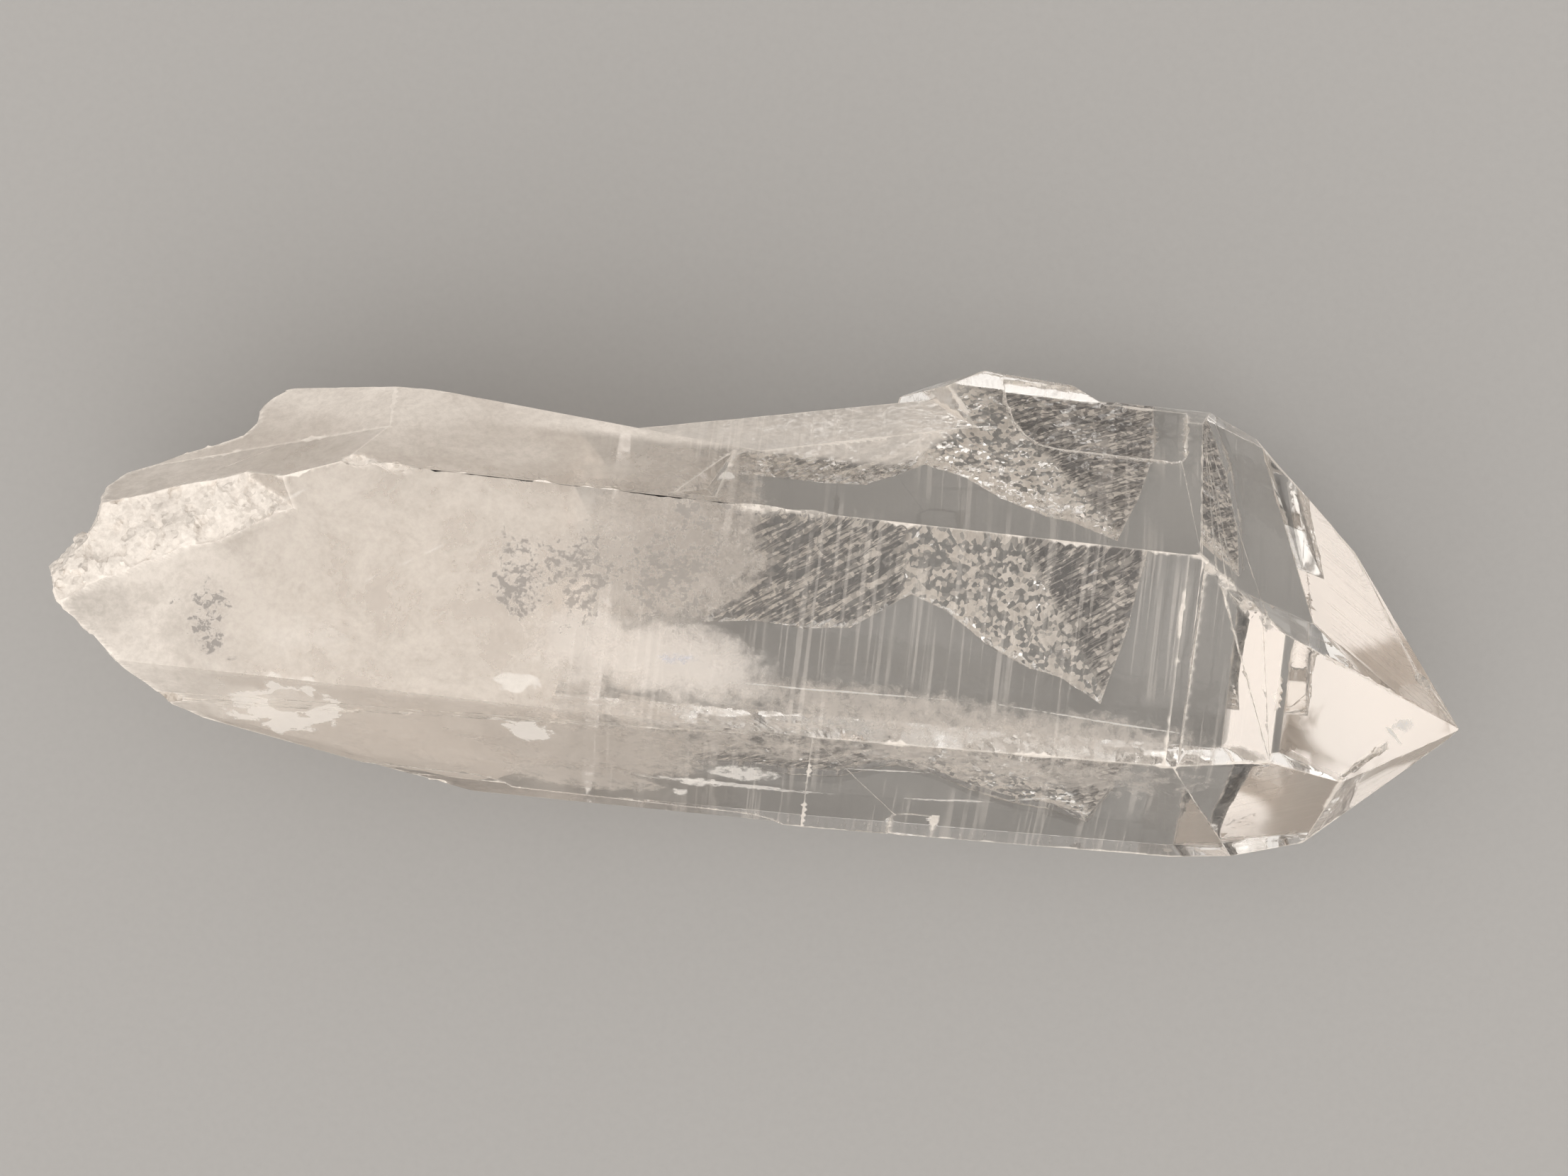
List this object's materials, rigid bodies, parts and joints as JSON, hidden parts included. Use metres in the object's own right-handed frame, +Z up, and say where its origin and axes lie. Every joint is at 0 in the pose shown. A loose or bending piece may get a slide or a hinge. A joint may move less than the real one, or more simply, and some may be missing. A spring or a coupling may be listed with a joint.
{
  "type": "quartz crystal point",
  "caption": "Clear natural quartz point lying on a prism face: hexagonal prism, broken root, pointed tip, milky inner veils.",
  "frame": {"origin": "centre of the bounding box, on the surface that the crystal lies on", "axes": "+X along the long axis towards the point, +Y towards the stepped upper side, +Z up out of the largest prism face"},
  "size_m": [0.1124, 0.0382, 0.031],
  "materials": {
    "clear_quartz": "natural crystal faces, glassy and clear towards the point, milky with veils towards the broken root"
  },
  "bodies": {
    "root": {"quartz_crystal": "clear_quartz"}
  },
  "joints": []
}
